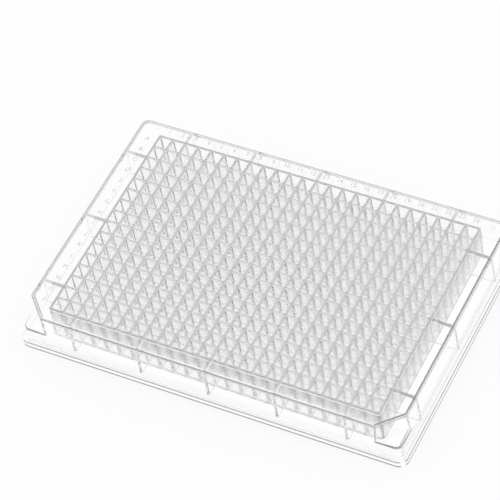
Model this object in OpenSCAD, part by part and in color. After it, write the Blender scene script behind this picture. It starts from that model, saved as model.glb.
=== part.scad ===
// 384-well microplate: a shallow clear tray moulded in one piece. A block of
// square wells hangs from a thin deck, and ribs tie the block to a drafted
// skirt that stands on a wider foot. Two corners are cut off to show which
// way round the plate goes. Origin: centre of the footprint, on the bench.

/* [Foot] */
// Length of the foot, along the numbered columns
foot_l = 127.76; // [120:0.01:140]
// Width of the foot, along the lettered rows
foot_w = 85.48; // [82:0.01:95]
// Height of the foot
foot_h = 2.41; // [1.8:0.01:4]
// Radius of the foot's corners
foot_r = 3.18; // [2.4:0.01:6]
// Width of the step from the foot in to the skirt
foot_step = 1.5; // [0.8:0.05:2.2]
// Depth of the recess under the foot that takes the rim of the plate below
stack_h = 1.25; // [0.6:0.05:1.6]

/* [Skirt] */
// Height of the whole plate
plate_h = 14.22; // [13.6:0.01:20]
// Thickness of the skirt wall
skirt_t = 1.15; // [0.8:0.05:1.6]
// Lean of the skirt wall from upright, in degrees
skirt_draft = 2.5; // [0.5:0.1:4]
// Radius of the skirt's corners at the foot
skirt_r = 2.1; // [1.8:0.1:4]

/* [Deck] */
// Thickness of the deck
deck_t = 1; // [0.6:0.05:1.5]
// Depth of the deck below the rim and the well tops
deck_drop = 0.35; // [0.1:0.05:0.8]
// Width of the raised rim
rim_t = 1; // [0.6:0.05:1.4]

/* [Corner cuts] */
// Length that each cut takes off a side, at the rim
cut_leg = 7.1; // [3:0.1:8]
// Height of the ledge under each cut
cut_z = 7.2; // [5:0.1:10]
// Thickness of the ledge under each cut
cut_t = 1.1; // [0.7:0.05:1.6]

/* [Wells] */
// Number of columns
cols = 24; // [6:1:24]
// Number of rows
rows = 16; // [4:1:16]
// Distance between neighbouring well centres
pitch = 4.5; // [4.2:0.05:4.6]
// Inside width of a well at its mouth
well_top = 3.7; // [3.4:0.05:3.9]
// Inside width of a well at its floor
well_floor = 3.3; // [2.8:0.05:3.4]
// Depth of a well
well_depth = 11.4; // [8:0.1:11.6]
// Thickness of the floor under the wells
floor_t = 0.9; // [0.6:0.05:1.2]
// Thickness of the block's outer wall at the top
edge_t = 0.8; // [0.6:0.05:1.2]

/* [Ribs] */
// Thickness of the ribs
rib_t = 1; // [0.6:0.05:1.4]
// Height of the ribs' lower edges above the bench
rib_z = 2.7; // [2:0.1:5]
// Columns from one rib to the next
rib_cols = 5; // [3:1:8]
// Rows from one rib to the next
rib_rows = 6; // [3:1:8]

/* [Hidden] */
$fn = 64;
eps = 0.01;
lean = tan(skirt_draft);
deck_z = plate_h - deck_drop;
under_z = deck_z - deck_t;
block_l = (cols - 1) * pitch + well_top + 2 * edge_t;
block_w = (rows - 1) * pitch + well_top + 2 * edge_t;
block_z = plate_h - well_depth - floor_t;
// Half the skirt's outer size at height z
function skirt_x(z) = foot_l / 2 - foot_step - lean * (z - foot_h);
function skirt_y(z) = foot_w / 2 - foot_step - lean * (z - foot_h);
// Half the rib-to-rib steps that fit between the block's middle and its ends
col_ribs = floor((cols / 2 - 1) / rib_cols);
row_ribs = floor((rows / 2 - 1) / rib_rows);

// A rounded rectangle
module outline(l, w, r) {
    square([l - 2 * r, w], center = true);
    square([l, w - 2 * r], center = true);
    for (x = [-1, 1], y = [-1, 1])
        translate([x * (l / 2 - r), y * (w / 2 - r)]) circle(r);
}

// The skirt's shape, drawn in by t all round, from height z0 to height z1
module drafted(t, z0, z1) {
    translate([0, 0, z0])
        linear_extrude(z1 - z0, slices = 1,
                       scale = [(skirt_x(z1) - t) / (skirt_x(z0) - t),
                                (skirt_y(z1) - t) / (skirt_y(z0) - t)])
            offset(skirt_r - t)
                square([2 * (skirt_x(z0) - skirt_r),
                        2 * (skirt_y(z0) - skirt_r)], center = true);
}

// A bar along X with a section in Y and Z that narrows from half width a at
// height z0 to half width b at height z1
module taper_bar(l, a, b, z0, z1) {
    rotate([90, 0, 90]) linear_extrude(l, center = true)
        polygon([[-a, z0], [a, z0], [b, z1], [-b, z1]]);
}

// Everything beyond the two cuts' faces, with the faces drawn in by t, from
// height z up
module beyond_cuts(t, z) {
    reach = 2 * cut_leg;
    for (side = [-1, 1])
        translate([side * (skirt_x(plate_h) - cut_leg / 2),
                   -skirt_y(plate_h) + cut_leg / 2, z])
            rotate(45 * side) translate([-reach, -reach, 0])
                cube([2 * reach, reach + t, plate_h]);
}

// The foot, the drafted skirt, the deck and the rim, with the two corner cuts
module shell() {
    difference() {
        union() {
            linear_extrude(foot_h) outline(foot_l, foot_w, foot_r);
            drafted(0, foot_h - eps, plate_h);
        }
        beyond_cuts(0, cut_z);
        // room for the rim of the plate below
        translate([0, 0, -eps]) linear_extrude(stack_h + eps)
            outline(foot_l - 2 * foot_step, foot_w - 2 * foot_step,
                    foot_r - foot_step);
        // the hollow behind the skirt
        difference() {
            drafted(skirt_t, stack_h - eps, under_z);
            beyond_cuts(skirt_t, cut_z - cut_t);
        }
        // the deck's sunken face
        difference() {
            translate([0, 0, deck_z]) linear_extrude(plate_h)
                outline(2 * (skirt_x(plate_h) - rim_t),
                        2 * (skirt_y(plate_h) - rim_t), skirt_r - rim_t);
            beyond_cuts(rim_t, deck_z - eps);
        }
    }
}

// The block that the wells are sunk in
module block() {
    translate([-block_l / 2, -block_w / 2, block_z])
        cube([block_l, block_w, plate_h - block_z]);
}

// The ribs from the block to the skirt, level with the well walls
module ribs() {
    for (i = [-col_ribs:col_ribs], side = [-1, 1])
        rib(skirt_y(rib_z), block_w / 2, i * rib_cols * pitch, 90 * side);
    for (j = [-row_ribs:row_ribs], side = [0, 1])
        rib(skirt_x(rib_z), block_l / 2, j * rib_rows * pitch, 180 * side);
}

// One rib at angle a, off the middle by s: its inner end is buried in the
// block's wall, and its outer end leans with the skirt
module rib(outer, inner, s, a) {
    top = deck_z - deck_t / 2;
    rotate(a) translate([0, s, 0])
        rotate([90, 0, 0]) linear_extrude(rib_t, center = true)
            polygon([[inner - edge_t / 2, rib_z],
                     [outer - skirt_t / 2, rib_z],
                     [outer - skirt_t / 2 - lean * (top - rib_z), top],
                     [inner - edge_t / 2, top]]);
}

// One square well, wider at its mouth
module well() {
    slope = (well_top - well_floor) / 2 / well_depth;
    intersection() {
        taper_bar(well_top + 1, well_floor / 2, well_top / 2 + slope * eps,
                  plate_h - well_depth, plate_h + eps);
        rotate(90)
            taper_bar(well_top + 1, well_floor / 2, well_top / 2 + slope * eps,
                      plate_h - well_depth, plate_h + eps);
    }
}

module plate() {
    color("aliceblue", 0.6) difference() {
        union() {
            shell();
            block();
            ribs();
        }
        for (i = [0:cols - 1], j = [0:rows - 1])
            translate([(i - (cols - 1) / 2) * pitch,
                       (j - (rows - 1) / 2) * pitch, 0]) well();
    }
}

plate();
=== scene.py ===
"""The looks of a clear well plate: one moulding in polystyrene, on a white floor."""

import bmesh
import bpy
import numpy as np
from mathutils import Matrix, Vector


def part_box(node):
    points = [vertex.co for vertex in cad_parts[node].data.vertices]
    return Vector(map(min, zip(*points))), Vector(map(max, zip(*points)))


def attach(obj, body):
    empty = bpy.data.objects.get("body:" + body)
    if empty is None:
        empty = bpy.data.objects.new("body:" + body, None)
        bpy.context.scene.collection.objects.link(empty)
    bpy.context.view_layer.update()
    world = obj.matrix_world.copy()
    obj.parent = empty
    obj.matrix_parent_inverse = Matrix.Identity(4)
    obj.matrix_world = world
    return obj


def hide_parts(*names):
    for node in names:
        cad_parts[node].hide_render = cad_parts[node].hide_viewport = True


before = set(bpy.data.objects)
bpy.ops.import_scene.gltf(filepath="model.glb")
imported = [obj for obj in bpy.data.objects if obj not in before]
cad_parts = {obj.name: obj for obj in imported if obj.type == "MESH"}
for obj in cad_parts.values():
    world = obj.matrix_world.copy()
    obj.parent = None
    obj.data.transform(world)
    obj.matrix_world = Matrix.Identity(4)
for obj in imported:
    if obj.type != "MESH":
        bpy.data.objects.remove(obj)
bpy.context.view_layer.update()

# ---------------------------------------------------------------- the shell
# The foot, the drafted skirt, the rim and the deck are one thin wall that runs
# round the plate. The mould rounds its edges, and the two front corners are
# cut off above a ledge to show which way round the plate goes.
mm = 0.001
foot_x, foot_y, plate_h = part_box("plate")[1]
foot_h = 2.41 * mm
foot_step = 1.5 * mm
foot_r = 3.18 * mm
stack_h = 1.25 * mm
skirt_t = 1.15 * mm
skirt_r = 2.1 * mm
smallest_skirt_r = 0.2 * mm
skirt_draft = 2.5
lean = np.tan(np.radians(skirt_draft))
rim_t = 1.0 * mm
rim_line = 0.55 * mm
deck_drop = 0.35 * mm
deck_t = 1.0 * mm
deck_z = plate_h - deck_drop
under_z = deck_z - deck_t
cut_leg = 7.1 * mm
ledge_z = 7.2 * mm
ledge_t = 1.1 * mm
ledge_under_z = ledge_z - ledge_t
ledge_band = 0.8 * mm
ledge_band_z = ledge_z - ledge_band
knee_r = 0.7 * mm
smallest_knee_r = 0.1 * mm
edge_r = 0.28 * mm
crease_r = 0.12 * mm
contact_z = 0.8 * mm
pitch = 4.5 * mm
cols, rows = 24, 16
well_top = 3.7 * mm
block_edge = 0.8 * mm
block_x = ((cols - 1) * pitch + well_top) / 2 + block_edge
block_y = ((rows - 1) * pitch + well_top) / 2 + block_edge
same_point = 1e-6
arc_steps = 9


def solid(name, points, *faces):
    """A closed mesh from an array of points and arrays of faces, where the rows of one array are
    faces with equally many corners. Points that coincide are merged, and the faces turned outwards."""
    points = np.asarray(points, float).reshape(-1, 3)
    corners = np.concatenate([np.asarray(f).ravel() for f in faces])
    sides = np.concatenate([np.full(len(f), np.shape(f)[1]) for f in faces])
    mesh = bpy.data.meshes.new(name)
    mesh.vertices.add(len(points))
    mesh.vertices.foreach_set("co", points.ravel())
    mesh.loops.add(len(corners))
    mesh.loops.foreach_set("vertex_index", corners.astype(np.int32))
    mesh.polygons.add(len(sides))
    mesh.polygons.foreach_set("loop_start", np.r_[0, np.cumsum(sides)[:-1]].astype(np.int32))
    mesh.update(calc_edges=True)
    close(mesh)
    piece = bpy.data.objects.new(name, mesh)
    bpy.context.scene.collection.objects.link(piece)
    return piece


def close(mesh):
    """Merges the points that coincide and turns the faces of a closed mesh outwards."""
    work = bmesh.new()
    work.from_mesh(mesh)
    bmesh.ops.remove_doubles(work, verts=work.verts, dist=same_point)
    bmesh.ops.recalc_face_normals(work, faces=work.faces)
    work.to_mesh(mesh)
    work.free()


def wrapped_grid(loops, points):
    """The quads of a grid of loops by points that is closed in both directions."""
    i, j = np.meshgrid(np.arange(loops), np.arange(points), indexing="ij")
    i1, j1 = (i + 1) % loops, (j + 1) % points
    quads = [i * points + j, i * points + j1, i1 * points + j1, i1 * points + j]
    return np.stack(quads, -1).reshape(-1, 4)


def wall_lines(half_x, half_y, radius, knee, cut, cuts, lip):
    """The closed lines that the wall follows, one per row of the profile, anticlockwise from the
    back right. Each corner is an arc about a centre one radius in from both sides. Where a line
    follows the cuts, a front corner is instead two arcs of 45 degrees, the knees, at the ends of
    the line |x| - y = cut. Where it doesn't, its first and last point still lie at the knees, and
    lip is how far its front arcs are drawn in."""
    n = arc_steps
    i = np.arange(2 * n + 2)
    corner = np.arange(4)[:, None]
    front = corner >= 2
    side_x = np.where((corner == 0) | (corner == 3), 1, -1)
    side_y = np.where(front, -1, 1)
    half_x, half_y, radius, knee, cut, cuts, lip = (
        np.asarray(v)[:, None, None] for v in (half_x, half_y, radius, knee, cut, cuts, lip))
    share = np.where(front, np.clip((i - 1) / (2 * n - 1), 0, 1), i / (2 * n + 1))
    a = np.pi / 2 * (corner + share)
    r = radius - np.where(front, lip, 0)
    arc_x = side_x * (half_x - radius) + r * np.cos(a)
    arc_y = side_y * (half_y - radius) + r * np.sin(a)
    first = i <= n
    a = np.pi / 2 * corner + np.pi / 4 * np.where(first, i / n, 1 + (i - n - 1) / n)
    at_end = first == (corner == 2)
    tangent = knee * np.tan(np.pi / 8)
    knee_x = side_x * np.where(at_end, half_x - knee, cut - half_y - tangent) + knee * np.cos(a)
    knee_y = -np.where(at_end, cut - half_x - tangent, half_y - knee) + knee * np.sin(a)
    on_knee = front & ((cuts > 0) | (i == 0) | (i == 2 * n + 1))
    lines = np.stack([np.where(on_knee, knee_x, arc_x), np.where(on_knee, knee_y, arc_y)], -1)
    return lines.reshape(len(half_x), -1, 2)


def rounded(start, end, corner, n=3):
    """Profile points (inset, z) on the quarter circle from start to end inside the corner."""
    a = np.linspace(0, np.pi / 2, n + 1)[:, None]
    start, end, corner = np.array(start), np.array(end), np.array(corner)
    return corner + (start - corner) * (1 - np.sin(a)) + (end - corner) * (1 - np.cos(a))


def skirt_rows(profile, cuts=0, lip=0):
    """Rows of the profile that are measured in from the leaning outer face of the skirt."""
    inset, z = np.array(profile).T
    shift = foot_step + lean * (z - foot_h) + inset
    one = np.ones_like(z)
    at_rim = foot_step + lean * (plate_h - foot_h)
    cut = (foot_x + foot_y - 2 * at_rim - cut_leg) - np.sqrt(2) * inset
    radius = np.maximum(skirt_r - inset, smallest_skirt_r)
    knee = np.maximum(knee_r - inset / 2, smallest_knee_r)
    return np.stack([foot_x - shift, foot_y - shift, radius, knee, cut, cuts * one, lip * one, z], 1)


def foot_rows(profile):
    """Rows of the profile that are measured in from the upright outer face of the foot."""
    inset, z = np.array(profile).T
    one = np.ones_like(z)
    cut = foot_x + foot_y - cut_leg - 4 * foot_step
    return np.stack([foot_x - inset, foot_y - inset, foot_r - inset, knee_r * one, cut * one,
                     0 * one, 0 * one, z], 1)


def block_row(z):
    """One row in the middle of the block's outer wall, where the deck ends."""
    half = block_edge / 2
    return np.array([[block_x - half, block_y - half, smallest_knee_r, smallest_knee_r,
                      block_x + block_y - cut_leg, 0, 0, z]])


e, c = edge_r, crease_r
lip = rounded((e, ledge_z), (0, ledge_z - e), (0, ledge_z))
profile = np.concatenate([
    block_row(deck_z),
    skirt_rows([(rim_t + c, deck_z), (rim_t, deck_z + c)], cuts=1),
    skirt_rows(rounded((rim_t, plate_h - e / 2), (rim_t - e / 2, plate_h), (rim_t, plate_h)), cuts=1),
    skirt_rows([(rim_line, plate_h)], cuts=1),
    skirt_rows(rounded((e, plate_h), (0, plate_h - e), (0, plate_h)), cuts=1),
    skirt_rows([(0, ledge_z)], cuts=1),
    skirt_rows(np.c_[0 * lip[:, 0], lip[:, 1]], lip=lip[:, 0]),
    skirt_rows([(0, ledge_band_z), (0, foot_h + c)]),
    foot_rows([(foot_step - c, foot_h)]),
    foot_rows(rounded((e, foot_h), (0, foot_h - e), (0, foot_h))),
    foot_rows([(0, contact_z)]),
    foot_rows(rounded((0, e), (e, 0), (0, 0))),
    foot_rows(rounded((foot_step - e, 0), (foot_step, e), (foot_step, 0))),
    foot_rows([(foot_step, stack_h)]),
    skirt_rows([(skirt_t - e / 2, stack_h), (skirt_t, stack_h + e / 2)]),
    skirt_rows([(skirt_t, ledge_under_z)]),
    skirt_rows([(skirt_t, ledge_under_z), (skirt_t, under_z - c), (skirt_t + c, under_z)], cuts=1),
    block_row(under_z),
])
lines = wall_lines(*profile[:, :7].T)
z = np.repeat(profile[:, 7:], lines.shape[1], 1)[..., None]
shell = solid("shell", np.concatenate([lines, z], -1), wrapped_grid(*lines.shape[:2]))

# ---------------------------------------------------------------- the block
# The wells are sunk in a block with thin walls between them. Each is square,
# a little wider at its mouth, and rounded at its mouth, edges and floor.
well_floor = 3.3 * mm
well_depth = 11.4 * mm
floor_t = 0.9 * mm
mouth_r = 0.28 * mm
upright_r = 0.3 * mm
floor_r = 0.3 * mm
block_bevel = 0.4 * mm
side_bands = 3
block_z = plate_h - well_depth - floor_t


def squares(half, bevel):
    """Squares about the origin with their corners cut off, eight points each, anticlockwise."""
    half, bevel = np.broadcast_arrays(np.asarray(half, float), np.asarray(bevel, float))
    a = np.pi / 2 * np.arange(4)[:, None] + 0 * np.arange(2)
    side = half[..., None, None] + 0 * a
    along = (half - bevel)[..., None, None] * np.array([-1, 1])
    x = side * np.cos(a) - along * np.sin(a)
    y = side * np.sin(a) + along * np.cos(a)
    return np.stack([x, y], -1).reshape(half.shape + (8, 2))


def at_heights(rings, z):
    """Flat rings of points, each ring raised to its own height."""
    heights = np.broadcast_to(z[:, None, None], rings.shape[:-1] + (1,))
    return np.concatenate([rings, heights], -1)


def well_points():
    """For each well a ring of eight points at each height: the mouth's curve, halfway down, the
    floor's curve and the floor."""
    mouth = rounded((mouth_r, 0), (0, -mouth_r), (0, 0))
    halfway = (well_top + well_floor) / 4
    half = np.r_[well_top / 2 + mouth[:, 0], halfway, well_floor / 2, well_floor / 2 - floor_r]
    z = plate_h + np.r_[mouth[:, 1], -well_depth / 2, floor_r - well_depth, -well_depth]
    x = (np.arange(cols) - cols / 2) * pitch + pitch / 2
    y = (np.arange(rows) - rows / 2) * pitch + pitch / 2
    centre_x, centre_y = np.meshgrid(x, y, indexing="ij")
    centres = np.stack([centre_x, centre_y], -1).reshape(-1, 1, 1, 2)
    return at_heights(centres + squares(half, half * 0 + upright_r), z)


def side_points():
    """Rings round the block's sides, with a point at every half pitch along each of the sides."""
    z = np.r_[np.linspace(plate_h - edge_r, block_z + edge_r, side_bands + 1), block_z]
    ring = squares(np.r_[np.full(side_bands + 1, block_x), block_x - edge_r], block_bevel)
    ring = ring + np.sign(ring) * [0, 1] * (block_y - block_x)
    start, end = ring[:, 0::2, None], ring[:, 1::2, None]
    sides = [start[:, k] + (end[:, k] - start[:, k]) * np.linspace(0, 1, 2 * n + 1)[None, :, None]
             for k, n in enumerate([rows, cols, rows, cols])]
    first = np.cumsum([0] + [side.shape[1] for side in sides])
    return at_heights(np.concatenate(sides, 1), z), first


def well_block():
    """The grid of cells on the block's top has a square hole in each cell, which goes down ring by
    ring to the well's floor. The block's own sides go down ring by ring too, to its underside, and
    a strip and a knee on each side join the grid's edge to the first of those rings."""
    x = (np.arange(cols + 1) - cols / 2) * pitch
    y = (np.arange(rows + 1) - rows / 2) * pitch
    x[[0, -1]] = [edge_r - block_x, block_x - edge_r]
    y[[0, -1]] = [edge_r - block_y, block_y - edge_r]
    grid_x, grid_y = np.meshgrid(x, y, indexing="ij")
    grid = np.stack([grid_x, grid_y, 0 * grid_x + plate_h], -1).reshape(-1, 3)
    wells = well_points()
    outer, first = side_points()
    points = np.concatenate([grid, wells.reshape(-1, 3), outer.reshape(-1, 3)])

    n = rows + 1
    cell_x, cell_y = np.meshgrid(np.arange(cols), np.arange(rows), indexing="ij")
    corner = (cell_x * n + cell_y).reshape(-1, 1) + np.array([n, n + 1, 1, 0])
    rings = wells.shape[1]
    ring = len(grid) + 8 * rings * np.arange(cols * rows)[:, None]
    k = np.arange(4)
    after = (k + 1) % 4
    flats = np.stack([corner[:, k], corner[:, after], ring + 2 * k + 1, ring + 2 * k], -1)
    notches = np.stack([corner[:, after], ring + (2 * k + 2) % 8, ring + 2 * k + 1], -1)
    j = np.arange(8)
    j1 = (j + 1) % 8
    down = [np.stack([upper + j, upper + j1, upper + 8 + j1, upper + 8 + j], -1).reshape(-1, 4)
            for upper in (ring + 8 * r for r in range(rings - 1))]
    floors = ring + 8 * (rings - 1) + j

    last = len(grid) + 8 * rings * cols * rows
    around = outer.shape[1]
    j = np.arange(around)
    j1 = (j + 1) % around
    sides = [np.stack([upper + j, upper + j1, upper + around + j1, upper + around + j], -1)
             for upper in (last + around * r for r in range(side_bands + 1))]
    bottom = (last + around * (side_bands + 1) + j)[None, :]
    edges = [cols * n + np.arange(n), np.arange(cols, -1, -1) * n + rows,
             np.arange(rows, -1, -1), np.arange(cols + 1) * n]
    strips = [np.r_[edge, last + np.arange(first[k + 1] - 1, first[k] - 1, -1)][None, :]
              for k, edge in enumerate(edges)]
    knees = np.array([[edge[-1], last + first[k + 1] % around, last + first[k + 1] - 1]
                      for k, edge in enumerate(edges)])
    return solid("block", points, flats.reshape(-1, 4), notches.reshape(-1, 3), *down, floors, *sides,
                 bottom, *strips, knees)


block = well_block()

# ---------------------------------------------------------------- the ribs
# Thin upright ribs tie the block to the skirt, in line with the well walls.
# Their ends run into the block's wall and the skirt.
rib_t = 1.0 * mm
rib_z = 2.7 * mm
rib_r = rib_t / 5
rib_rise = 0.02 * mm
rib_top = deck_z + rib_rise
rib_cols = 5
rib_rows = 6


def rib(inner, outer, off_middle, turn):
    """A prism whose section, with rounded lower edges, is carried from the block to the skirt and
    leans with the skirt at its outer end, then turned about the plate's middle."""
    half, r = rib_t / 2, rib_r
    section = np.array([(-half, rib_top), (-half, rib_z + r), (r - half, rib_z), (half - r, rib_z),
                        (half, rib_z + r), (half, rib_top)])
    sides = len(section)
    reach = np.stack([0 * section[:, 1] + inner, outer - lean * (section[:, 1] - rib_z)])
    points = np.stack([reach, np.broadcast_to(section[:, 0] + off_middle, (2, sides)),
                       np.broadcast_to(section[:, 1], (2, sides))], -1).reshape(-1, 3)
    a = np.radians(turn)
    points = points @ np.array([[np.cos(a), np.sin(a), 0], [-np.sin(a), np.cos(a), 0], [0, 0, 1]])
    j = np.arange(sides)
    j1 = (j + 1) % sides
    return points, np.stack([j, j1, sides + j1, sides + j], -1), np.stack([j, j + sides])


def rib_set():
    """Five ribs on each long side, five columns apart, and three on each short side, six rows apart."""
    inset = foot_step + lean * (rib_z - foot_h) + skirt_t / 2
    places = [(block_y, foot_y, i * rib_cols * pitch, turn) for i in range(-2, 3) for turn in (90, 270)]
    places += [(block_x, foot_x, i * rib_rows * pitch, turn) for i in range(-1, 2) for turn in (0, 180)]
    made = [rib(start - block_edge / 2, end - inset, off, turn) for start, end, off, turn in places]
    points = np.stack([p for p, _, _ in made])
    first = np.arange(len(made))[:, None, None] * points.shape[1]
    quads = np.stack([q for _, q, _ in made]) + first
    ends = np.stack([s for _, _, s in made]) + first
    return solid("ribs", points, quads.reshape(-1, 4), ends.reshape(-1, ends.shape[2]))


ribs = rib_set()

# ---------------------------------------------------------------- the labels
# Row letters down the left of the deck and column numbers along its back,
# raised a little by engraving in the mould.
label_size = 2.1 * mm
label_rise = 0.12 * mm
letter_x = -57.3 * mm
number_y = 38.5 * mm


def label(text, x, y):
    """The text as a thin closed prism, centred at (x, y), sunk in the deck and standing out of it."""
    curve = bpy.data.curves.new(text, "FONT")
    curve.body = text
    curve.size = label_size
    curve.align_x = "CENTER"
    curve.align_y = "CENTER"
    curve.resolution_u = 2
    curve.extrude = label_rise
    source = bpy.data.objects.new(text, curve)
    bpy.context.scene.collection.objects.link(source)
    source.location = (x, y, deck_z)
    bpy.context.view_layer.update()
    mesh = bpy.data.meshes.new_from_object(source.evaluated_get(bpy.context.evaluated_depsgraph_get()))
    mesh.transform(source.matrix_world)
    bpy.data.objects.remove(source)
    return mesh


def label_set():
    """The row letters from A at the back, and the column numbers from 1 at the left."""
    meshes = [label(chr(ord("A") + j), letter_x, ((rows - 1) / 2 - j) * pitch) for j in range(rows)]
    meshes += [label(str(i + 1), (i - (cols - 1) / 2) * pitch, number_y) for i in range(cols)]
    work = bmesh.new()
    for mesh in meshes:
        work.from_mesh(mesh)
    together = bpy.data.meshes.new("labels")
    work.to_mesh(together)
    work.free()
    close(together)
    piece = bpy.data.objects.new("labels", together)
    bpy.context.scene.collection.objects.link(piece)
    return piece


labels = label_set()

# ---------------------------------------------------------------- one moulding
# All of it comes out of the mould as one piece of clear polystyrene, with a
# trace of flow in the melt. Each kind of face has a painted shade of its own,
# which paints into its colour the grey that shadow and refraction give its edges.

# Limits on a face's direction, then on how far from an edge a face still counts.
flat = 0.98
upright = 0.12
oblique = 0.1
sideways = 0.9
knee_facets = (0.03, 0.69)
hair = 0.01 * mm
skin = 0.2 * mm
crown_h = 0.3 * mm
corner_reach = 0.7 * mm
foot_reach = 0.5 * mm
moat_start = 2 * mm

# Painted shade of each kind of face, from 0, clear, to 1, black. The front and right kinds have shades
# apart from the back and left ones, painted for how the light falls on each side, and the foot's lower
# edge has a painted contact shadow.
painted_shades = {
    "label": 0.6,
    "near rib top": 0.65,
    "far rib top": 0.5,
    "near block edge": 0.65,
    "far block edge": 0.7,
    "column top": 0.65,
    "row top": 0.7,
    "column mouth": 0.6,
    "row mouth": 0.38,
    "block corner": 0.75,
    "well corner": 0.55,
    "side wall": 0.05,
    "near rim top": 0.88,
    "near rim edge": 0.25,
    "front rim edge": 0.8,
    "far cut rim": 0.6,
    "knee": 0.65,
    "outer rim": 0.65,
    "left rim top": 0.45,
    "far rim edge": 0.75,
    "rest of the rim": 0.08,
    "rib foot": 0.5,
    "foot's lower edge": 0.92,
    "foot's upper edge": 0.7,
    "ledge's edge": 0.8,
}
# Painted shade down the block's front and right sides, with a painted streak at every well wall, and how
# fast it and the painted shade of the well corners fade with height.
painted_side_shade = 0.4
painted_streak_shade = 0.55
painted_side_fade = 2
painted_near_corner_fade = 2
painted_corner_fade = 0.5
polish = 0.01
wall_haze = 0.015
side_haze = 0.2
low_haze = 0.12


def joined(name, first, *others):
    """One closed mesh of all the solids."""
    for other in others:
        union = first.modifiers.new(other.name, "BOOLEAN")
        union.operation = "UNION"
        union.solver = "MANIFOLD"
        union.object = other
    mesh = bpy.data.meshes.new_from_object(first.evaluated_get(bpy.context.evaluated_depsgraph_get()))
    mesh.name = name
    for other in (first, *others):
        bpy.data.objects.remove(other)
    mesh.shade_flat()
    piece = bpy.data.objects.new(name, mesh)
    bpy.context.scene.collection.objects.link(piece)
    return piece


def measured(items, key, width=1, kind=np.float32):
    """What each of a mesh's items holds under the key, as one array with one row for each item."""
    values = np.empty(len(items) * width, kind)
    items.foreach_get(key, values)
    return values.reshape(-1, width) if width > 1 else values


def face_kinds(x, y, z, facing):
    """Which kinds each face belongs to, from where its middle lies and which way it faces. A face
    is of the first of its kinds, in the order of the table of painted shades."""
    across, to_back, up = facing.T
    level = up > flat
    top = up > upright
    steep = np.abs(up) < upright
    curved = (np.abs(up) > upright) & (np.abs(up) < flat)
    in_block = (np.abs(x) < block_x + hair) & (np.abs(y) < block_y + hair)
    right_side = x > block_x - skin
    near_side = right_side | (y < skin - block_y)
    far_side = (x < block_edge - block_x) | (y > block_y - block_edge)
    crown = z > plate_h - crown_h
    well_tops = in_block & crown & level
    well_mouths = in_block & crown & top
    off_column = np.abs((x / pitch + cols / 2) % 1 - 0.5)
    off_row = np.abs((y / pitch + rows / 2) % 1 - 0.5)
    corners = in_block & steep & (np.abs(across * to_back) > oblique)
    at_corner = (np.abs(x) > block_x - corner_reach) & (np.abs(y) > block_y - corner_reach)
    front = y < -block_y - moat_start
    near = (x > block_x + moat_start) | (front & (x > block_x))
    rim = crown & ~in_block & top
    inset = np.minimum(foot_x - np.abs(x), foot_y - np.abs(y)) - foot_step - lean * (z - foot_h)
    outermost = (x > foot_x - foot_reach) | (y < foot_reach - foot_y)
    rib_tops = ~in_block & level & (np.abs(z - rib_top) < hair)
    by_cut = np.abs(x) - y > foot_x + foot_y - 2 * foot_step - cut_leg
    turned = (np.abs(across) > knee_facets[0]) & (np.abs(across) < knee_facets[1])
    return {
        "label": ~in_block & level & (np.abs(z - deck_z - label_rise) < hair),
        "near rib top": rib_tops & near,
        "far rib top": rib_tops,
        "near block edge": in_block & crown & (up < flat) & near_side,
        "far block edge": well_mouths & far_side,
        "column top": well_tops & (off_column > off_row),
        "row top": well_tops,
        "column mouth": well_mouths & (np.abs(across) > np.abs(to_back)),
        "row mouth": well_mouths,
        "block corner": corners & at_corner,
        "well corner": corners,
        "side wall": in_block & steep & (np.abs(across) > sideways),
        "near rim top": rim & near & level,
        "near rim edge": rim & near,
        "front rim edge": rim & front & (to_back < -upright),
        "far cut rim": rim & front & (x < -block_x),
        "knee": front & steep & (z > ledge_z) & (to_back < 0) & turned,
        "outer rim": rim & (inset < rim_line) & ~front,
        "left rim top": rim & level & (x < -block_x),
        "far rim edge": rim & (up < flat) & ~front,
        "rest of the rim": rim,
        "rib foot": ~in_block & (up < -upright) & (z > rib_z - 2 * hair) & (z < rib_z + rib_r),
        # Painted contact shadow along the foot's lower edge, where it stands on the floor.
        "foot's lower edge": outermost & (z < contact_z) & (up > -flat),
        "foot's upper edge": outermost & curved & (z > foot_h / 2),
        "ledge's edge": by_cut & (z > ledge_band_z) & (z < ledge_z),
        "block side": in_block & (np.abs(up) < flat) & ~crown & near_side & ~corners,
        "right side": right_side,
    }


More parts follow.
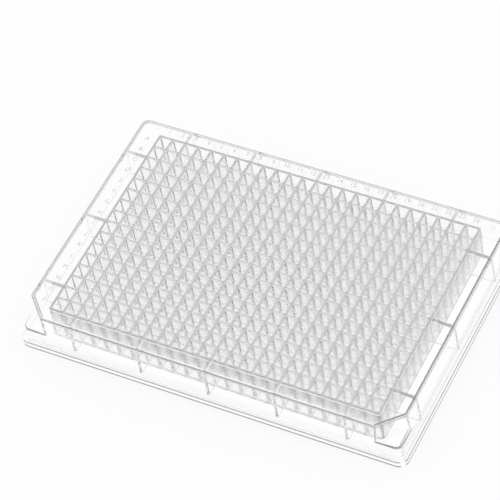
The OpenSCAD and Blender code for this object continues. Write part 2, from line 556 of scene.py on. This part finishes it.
def marked(piece):
    """Gives every corner of every face its painted shade, which darkens its colour to stand for shade,
    and its haze, which is how matt it is. The painted shade of the well corners fades as a power of the
    height above the underside, faster in the outermost wells at the front and the right. The block's
    front and right sides get a painted shade that fades as the square of the height, with a streak as a
    cosine at every well wall."""
    mesh = piece.data
    middle = measured(mesh.polygons, "center", 3)
    kinds = face_kinds(*middle.T, measured(mesh.polygons, "normal", 3))
    painted_shade = np.select([kinds[name] for name in painted_shades], list(painted_shades.values()), 0)
    face = np.repeat(np.arange(len(middle)), measured(mesh.polygons, "loop_total", kind=np.int32))
    painted_shade = painted_shade[face]
    on = {name: kind[face] for name, kind in kinds.items()}
    x, y, z = measured(mesh.vertices, "co", 3)[measured(mesh.loops, "vertex_index", kind=np.int32)].T
    height = np.clip((z - block_z) / (plate_h - block_z), 0, 1)
    streak = 0.5 + 0.5 * np.cos(2 * np.pi * np.where(on["right side"], y, x) / pitch)
    outermost = (x > block_x - pitch) | (y < pitch - block_y)
    faded = painted_shade * height ** np.where(outermost, painted_near_corner_fade, painted_corner_fade)
    painted_shade = np.where(on["well corner"] & ~on["block corner"], faded, painted_shade)
    painted_shade = np.where(on["block side"], height ** painted_side_fade * (painted_side_shade + painted_streak_shade * streak), painted_shade)
    haze = np.select([on["block side"], on["side wall"]],
                     [low_haze + (side_haze - low_haze) * height, wall_haze], polish)
    for name, values in (("painted_shade", painted_shade), ("haze", haze)):
        mark = mesh.attributes.new(name, "FLOAT", "CORNER")
        mark.data.foreach_set("value", values.astype(np.float32))


flow_marks = 0.02
flow_size = 0.9 * mm
flow_stretch = 0.12
rosy_cast = (1.0, 0.992, 0.996, 1)
green_cast = (0.994, 1.0, 0.991, 1)
rosy_below = 0.3
green_above = 0.7
polystyrene_ior = 1.59
melt_grey = (0.5, 0.5, 0.5, 1)
melt_density = 4
passed_square_on = 0.96
passed_power = 3


def sum_node(nodes, operation, first=None, second=None, third=None):
    """A Math node with the given numbers in its sockets. A socket left out is for a link."""
    node = nodes.new("ShaderNodeMath")
    node.operation = operation
    for socket, number in zip(node.inputs, (first, second, third)):
        if number is not None:
            socket.default_value = number
    return node


def clear_polystyrene():
    """Clear plastic whose colour is a faint cast of the flow times one minus the painted shade, and
    whose roughness is the haze plus the flow marks. Light on its way to or from the floor passes
    straight through, less of it the steeper it meets the face, so that the shadow stays soft."""
    material = bpy.data.materials.new("clear_polystyrene")
    material.use_nodes = True
    nodes, links = material.node_tree.nodes, material.node_tree.links
    plastic = nodes["Principled BSDF"]
    plastic.inputs["Transmission Weight"].default_value = 1.0
    plastic.inputs["IOR"].default_value = polystyrene_ior

    place = nodes.new("ShaderNodeTexCoord")
    drawn_down = nodes.new("ShaderNodeMapping")
    drawn_down.inputs["Scale"].default_value = (1 / flow_size, 1 / flow_size, flow_stretch / flow_size)
    flow = nodes.new("ShaderNodeTexNoise")
    flow.inputs["Scale"].default_value = 1.0
    flow.inputs["Detail"].default_value = 2.0
    links.new(place.outputs["Object"], drawn_down.inputs["Vector"])
    links.new(drawn_down.outputs["Vector"], flow.inputs["Vector"])

    cast = nodes.new("ShaderNodeValToRGB")
    rosy, green = cast.color_ramp.elements
    rosy.position = rosy_below
    rosy.color = rosy_cast
    green.position = green_above
    green.color = green_cast
    # The painted shade attribute darkens the base colour: one minus it scales the flow's cast.
    painted_shade = nodes.new("ShaderNodeAttribute")
    painted_shade.attribute_name = "painted_shade"
    clear = sum_node(nodes, "SUBTRACT", 1.0)
    cast_and_painted_shade = nodes.new("ShaderNodeVectorMath")
    cast_and_painted_shade.operation = "SCALE"
    links.new(flow.outputs["Fac"], cast.inputs["Fac"])
    links.new(painted_shade.outputs["Fac"], clear.inputs[1])
    links.new(cast.outputs["Color"], cast_and_painted_shade.inputs[0])
    links.new(clear.outputs[0], cast_and_painted_shade.inputs["Scale"])
    links.new(cast_and_painted_shade.outputs["Vector"], plastic.inputs["Base Color"])

    haze = nodes.new("ShaderNodeAttribute")
    haze.attribute_name = "haze"
    rough = sum_node(nodes, "MULTIPLY_ADD", second=flow_marks)
    links.new(flow.outputs["Fac"], rough.inputs[0])
    links.new(haze.outputs["Fac"], rough.inputs[2])
    links.new(rough.outputs[0], plastic.inputs["Roughness"])

    light_path = nodes.new("ShaderNodeLightPath")
    to_floor = sum_node(nodes, "MAXIMUM")
    tilt = nodes.new("ShaderNodeLayerWeight")
    tilt.inputs["Blend"].default_value = 0.5
    steep = sum_node(nodes, "POWER", second=passed_power)
    passed = sum_node(nodes, "MULTIPLY_ADD", second=-passed_square_on, third=passed_square_on)
    see_through = nodes.new("ShaderNodeBsdfTransparent")
    mix = nodes.new("ShaderNodeMixShader")
    links.new(light_path.outputs["Is Shadow Ray"], to_floor.inputs[0])
    links.new(light_path.outputs["Is Diffuse Ray"], to_floor.inputs[1])
    links.new(tilt.outputs["Facing"], steep.inputs[0])
    links.new(steep.outputs[0], passed.inputs[0])
    links.new(passed.outputs[0], see_through.inputs["Color"])
    links.new(to_floor.outputs[0], mix.inputs["Fac"])
    links.new(plastic.outputs["BSDF"], mix.inputs[1])
    links.new(see_through.outputs["BSDF"], mix.inputs[2])
    links.new(mix.outputs["Shader"], nodes["Material Output"].inputs["Surface"])

    melt = nodes.new("ShaderNodeVolumeAbsorption")
    melt.inputs["Color"].default_value = melt_grey
    melt.inputs["Density"].default_value = melt_density
    links.new(melt.outputs["Volume"], nodes["Material Output"].inputs["Volume"])
    return material


plate = joined("moulded_plate", block, shell, ribs, labels)
marked(plate)
plate.data.materials.clear()
plate.data.materials.append(clear_polystyrene())
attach(plate, "root")
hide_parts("plate")

# ---------------------------------------------------------------- the floor
# A wide table in matt white paint. Seen directly, or off or through the
# plastic, it is mostly white by itself, and the rest keeps the plate's shadow.
floor_half = 4.0
table_albedo = 0.95
table_roughness = 0.9
own_white = 0.85


def white_table():
    """Paint mixed with plain white by a share that is above 0 only for rays from the camera, and
    for those off or through the plastic."""
    material = bpy.data.materials.new("white_table")
    material.use_nodes = True
    nodes, links = material.node_tree.nodes, material.node_tree.links
    paint = nodes["Principled BSDF"]
    paint.inputs["Base Color"].default_value = (table_albedo, table_albedo, table_albedo, 1)
    paint.inputs["Roughness"].default_value = table_roughness
    glow = nodes.new("ShaderNodeEmission")
    light_path = nodes.new("ShaderNodeLightPath")
    by_plastic = sum_node(nodes, "ADD")
    direct = sum_node(nodes, "MULTIPLY", second=own_white)
    share = sum_node(nodes, "MULTIPLY_ADD", second=own_white)
    mix = nodes.new("ShaderNodeMixShader")
    links.new(light_path.outputs["Is Transmission Ray"], by_plastic.inputs[0])
    links.new(light_path.outputs["Is Glossy Ray"], by_plastic.inputs[1])
    links.new(light_path.outputs["Is Camera Ray"], direct.inputs[0])
    links.new(by_plastic.outputs[0], share.inputs[0])
    links.new(direct.outputs[0], share.inputs[2])
    links.new(share.outputs[0], mix.inputs["Fac"])
    links.new(paint.outputs["BSDF"], mix.inputs[1])
    links.new(glow.outputs["Emission"], mix.inputs[2])
    links.new(mix.outputs["Shader"], nodes["Material Output"].inputs["Surface"])
    return material


def floor():
    """One large square at height 0."""
    mesh = bpy.data.meshes.new("floor")
    s = floor_half
    mesh.from_pydata([(-s, -s, 0), (s, -s, 0), (s, s, 0), (-s, s, 0)], [], [(0, 1, 2, 3)])
    mesh.materials.append(white_table())
    table = bpy.data.objects.new("floor", mesh)
    bpy.context.scene.collection.objects.link(table)


floor()

# ---------------------------------------------------------------- the light
# A white dome of soft light, a little weaker towards the horizon. It shows as
# plain white to the camera, and in and through the plastic.
horizon_light = 0.9
overhead_light = 1.0
full_light_from = 0.5
light_bounces = 64

world = bpy.data.worlds.new("studio")
bpy.context.scene.world = world
world.use_nodes = True
nodes, links = world.node_tree.nodes, world.node_tree.links
coordinates = nodes.new("ShaderNodeTexCoord")
direction = nodes.new("ShaderNodeSeparateXYZ")
fade = nodes.new("ShaderNodeMapRange")
fade.inputs["From Min"].default_value = 0.0
fade.inputs["From Max"].default_value = full_light_from
fade.inputs["To Min"].default_value = horizon_light
fade.inputs["To Max"].default_value = overhead_light
links.new(coordinates.outputs["Generated"], direction.inputs["Vector"])
links.new(direction.outputs["Z"], fade.inputs["Value"])
light_path = nodes.new("ShaderNodeLightPath")
strength = fade.outputs["Result"]
for ray in ("Is Camera Ray", "Is Glossy Ray", "Is Transmission Ray"):
    whitest = sum_node(nodes, "MAXIMUM")
    links.new(strength, whitest.inputs[0])
    links.new(light_path.outputs[ray], whitest.inputs[1])
    strength = whitest.outputs[0]
nodes["Background"].inputs["Color"].default_value = (1, 1, 1, 1)
links.new(strength, nodes["Background"].inputs["Strength"])

cycles = bpy.context.scene.cycles
cycles.max_bounces = light_bounces
cycles.transmission_bounces = light_bounces
cycles.glossy_bounces = light_bounces
cycles.transparent_max_bounces = light_bounces

# ---------------------------------------------------------------- the camera
# Above the front right corner, with a long lens, tilted a little.
azimuth, elevation, roll = np.radians([35.42, 50.27, -11.84])
distance = 0.8672
target = np.array([-10.62, 9.57, 7.0]) * mm
lens_per_sensor = 5.746
sensor_width = 36
nearest_seen = 0.01
farthest_seen = 20


def camera():
    """The camera looks along the line from target at azimuth and elevation, rolled about it."""
    back = np.array([np.sin(azimuth) * np.cos(elevation), -np.cos(azimuth) * np.cos(elevation),
                     np.sin(elevation)])
    right = np.array([np.cos(azimuth), np.sin(azimuth), 0])
    up = np.cross(back, right)
    place = np.eye(4)
    place[:3, 0] = right * np.cos(roll) + up * np.sin(roll)
    place[:3, 1] = up * np.cos(roll) - right * np.sin(roll)
    place[:3, 2] = back
    place[:3, 3] = target + back * distance
    lens = bpy.data.cameras.new("camera")
    lens.sensor_width = sensor_width
    lens.lens = lens_per_sensor * sensor_width
    lens.clip_start = nearest_seen
    lens.clip_end = farthest_seen
    view = bpy.data.objects.new("camera", lens)
    view.matrix_world = Matrix(place.tolist())
    bpy.context.scene.collection.objects.link(view)
    bpy.context.scene.camera = view


camera()
bpy.context.scene.view_settings.view_transform = "Standard"
